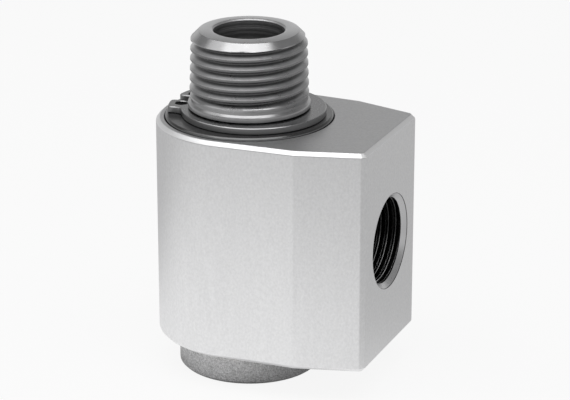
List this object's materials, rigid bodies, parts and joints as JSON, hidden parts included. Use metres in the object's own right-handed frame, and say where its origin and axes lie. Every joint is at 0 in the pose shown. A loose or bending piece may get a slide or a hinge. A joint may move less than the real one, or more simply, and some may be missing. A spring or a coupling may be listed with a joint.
{
  "type": "hydraulic rotary union",
  "caption": "Right-angle hydraulic rotary union: a block housing with a threaded side port that turns about a hollow shaft with a male taper thread, held by a washer and a retaining ring.",
  "frame": {"origin": "on the shaft axis, at the underside of the shaft's head", "axes": "+Z along the shaft axis towards the male thread, +X along the side port's axis out of the housing"},
  "size_m": [0.0439, 0.0334, 0.0631],
  "materials": {
    "housing_steel": "satin, finely ground",
    "shaft_steel": "turned, with a blasted head",
    "spring_steel": "phosphated, with bright edges",
    "washer_steel": "ground",
    "bearing_steel": "polished",
    "bearing_bronze": "machined",
    "cage_polymer": "moulded",
    "seal_polymer": "filled fluoropolymer",
    "seal_rubber": "nitrile"
  },
  "bodies": {
    "housing": {"housing": "housing_steel", "slide_washer": "bearing_bronze", "end_play_shim": "washer_steel", "upper_dust_seal": "seal_rubber", "upper_bearing_cup": "bearing_steel", "upper_seal_ring": "seal_polymer", "upper_seal_o_ring": "seal_rubber", "lower_seal_ring": "seal_polymer", "lower_seal_o_ring": "seal_rubber", "lower_bearing_cup": "bearing_steel", "lower_dust_seal": "seal_rubber", "thrust_washer": "bearing_bronze"},
    "shaft": {"shaft": "shaft_steel", "retaining_ring": "spring_steel", "support_washer": "washer_steel"},
    "upper_rollers": {"upper_needle_cage": "cage_polymer", "upper_needles": "bearing_steel"},
    "lower_rollers": {"lower_needle_cage": "cage_polymer", "lower_needles": "bearing_steel"}
  },
  "joints": [
    {"name": "shaft_spin", "type": "hinge", "parent": "housing", "child": "shaft", "pos_m": [0, 0, 0], "axis": [0, 0, 1], "continuous": true},
    {"name": "upper_rollers_orbit", "type": "hinge", "parent": "housing", "child": "upper_rollers", "pos_m": [0, 0, 0], "axis": [0, 0, 1], "continuous": true},
    {"name": "lower_rollers_orbit", "type": "hinge", "parent": "housing", "child": "lower_rollers", "pos_m": [0, 0, 0], "axis": [0, 0, 1], "continuous": true}
  ],
  "couplings": [
    {"joint": "upper_rollers_orbit", "follows": "shaft_spin", "ratio": 0.45833},
    {"joint": "lower_rollers_orbit", "follows": "shaft_spin", "ratio": 0.45833}
  ]
}
